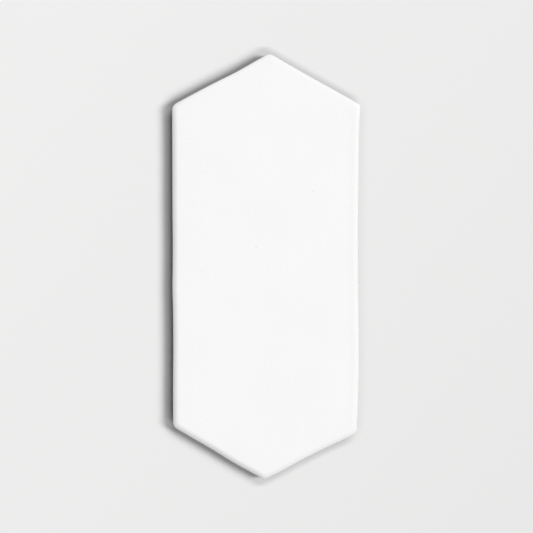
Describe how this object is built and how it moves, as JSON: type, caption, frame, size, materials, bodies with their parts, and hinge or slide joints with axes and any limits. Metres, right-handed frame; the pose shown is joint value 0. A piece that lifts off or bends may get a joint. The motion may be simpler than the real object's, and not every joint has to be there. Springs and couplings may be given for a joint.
{
  "type": "picket tile",
  "caption": "White glazed ceramic picket tile: a flat elongated hexagon with hand-cut, softly waving rounded edges and a grooved back.",
  "frame": {"origin": "middle of the flat back, on the bedding plane", "axes": "+Z out of the glazed face, +Y along the long axis towards the blunter point, +X across the tile"},
  "size_m": [0.0898, 0.2026, 0.0092],
  "materials": {
    "glaze": "satin"
  },
  "bodies": {
    "root": {"picket_tile": "glaze"}
  },
  "joints": []
}
